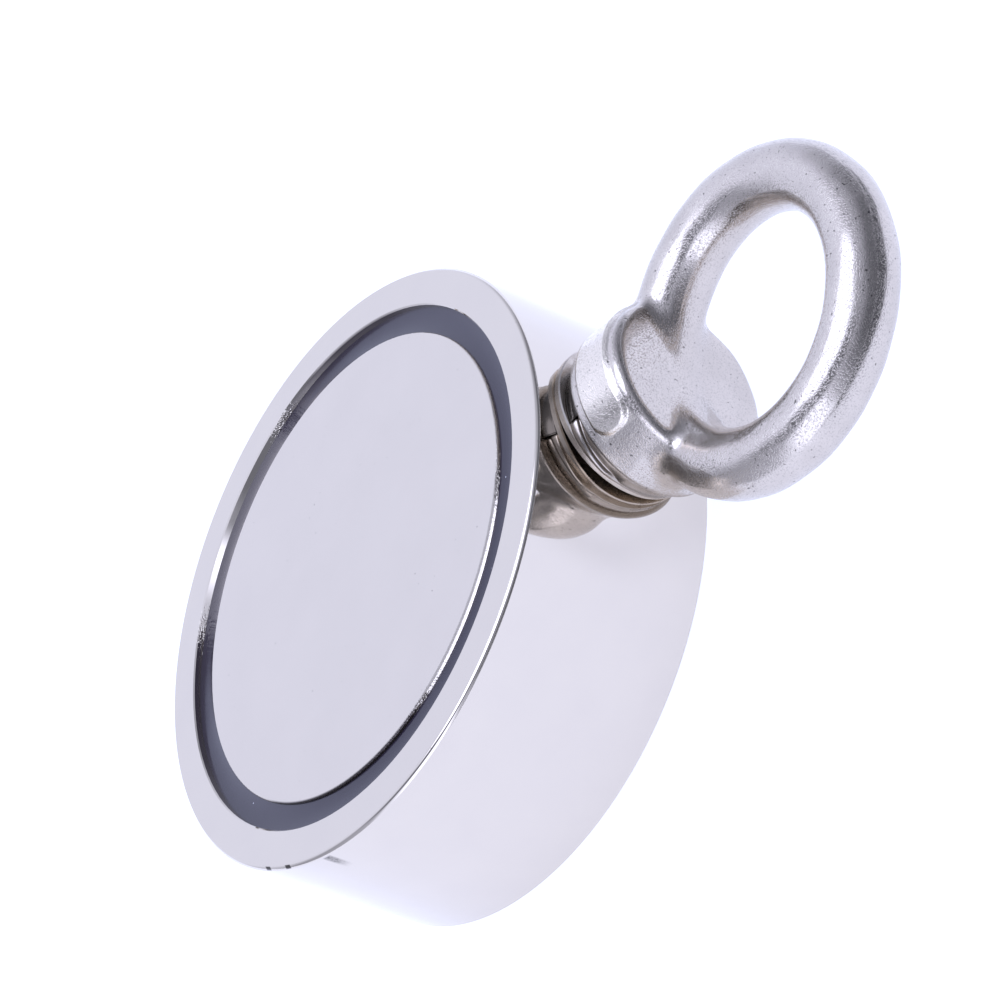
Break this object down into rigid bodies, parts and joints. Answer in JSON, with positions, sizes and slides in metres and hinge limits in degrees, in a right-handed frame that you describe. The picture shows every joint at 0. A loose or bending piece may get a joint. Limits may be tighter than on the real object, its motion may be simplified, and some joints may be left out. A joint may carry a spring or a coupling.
{
  "type": "magnet fishing magnet",
  "caption": "Round disc magnet with a working face on each side, in a polished steel housing, with a forged eyebolt and its washers screwed into the edge.",
  "frame": {"origin": "centre of the rear face, on the plane of the rear rim", "axes": "+Z along the disc's axis towards the front face, +X out along the eyebolt"},
  "size_m": [0.12, 0.075, 0.025],
  "materials": {
    "plated_housing": "polished nickel plate on steel",
    "plated_magnet": "polished nickel plate on a sintered magnet",
    "potting_resin": "glossy grey-blue epoxy",
    "adhesive": "cured adhesive, out of sight",
    "washer_steel": "plain zinc-plated spring steel",
    "forged_steel": "forged, tumbled and zinc plated, with a fine satin grain"
  },
  "bodies": {
    "housing": {"housing": "plated_housing", "front_bond_layer": "adhesive", "front_magnet": "plated_magnet", "front_resin_ring": "potting_resin", "rear_bond_layer": "adhesive", "rear_magnet": "plated_magnet", "rear_resin_ring": "potting_resin"},
    "washers": {"flat_washer": "washer_steel", "spring_washer": "washer_steel"},
    "eyebolt": {"eyebolt": "forged_steel"}
  },
  "joints": [
    {"name": "washer_slide", "type": "slide", "parent": "housing", "child": "washers", "axis": [1, 0, 0], "range_m": [0, 0.01426]},
    {"name": "eyebolt_screw", "type": "hinge", "parent": "washers", "child": "eyebolt", "pos_m": [0.041, 0, 0.0125], "axis": [1, 0, 0], "range_deg": [0, 3420]}
  ],
  "couplings": [
    {"joint": "washer_slide", "follows": "eyebolt_screw", "m_per_rad": 0.00023873}
  ]
}
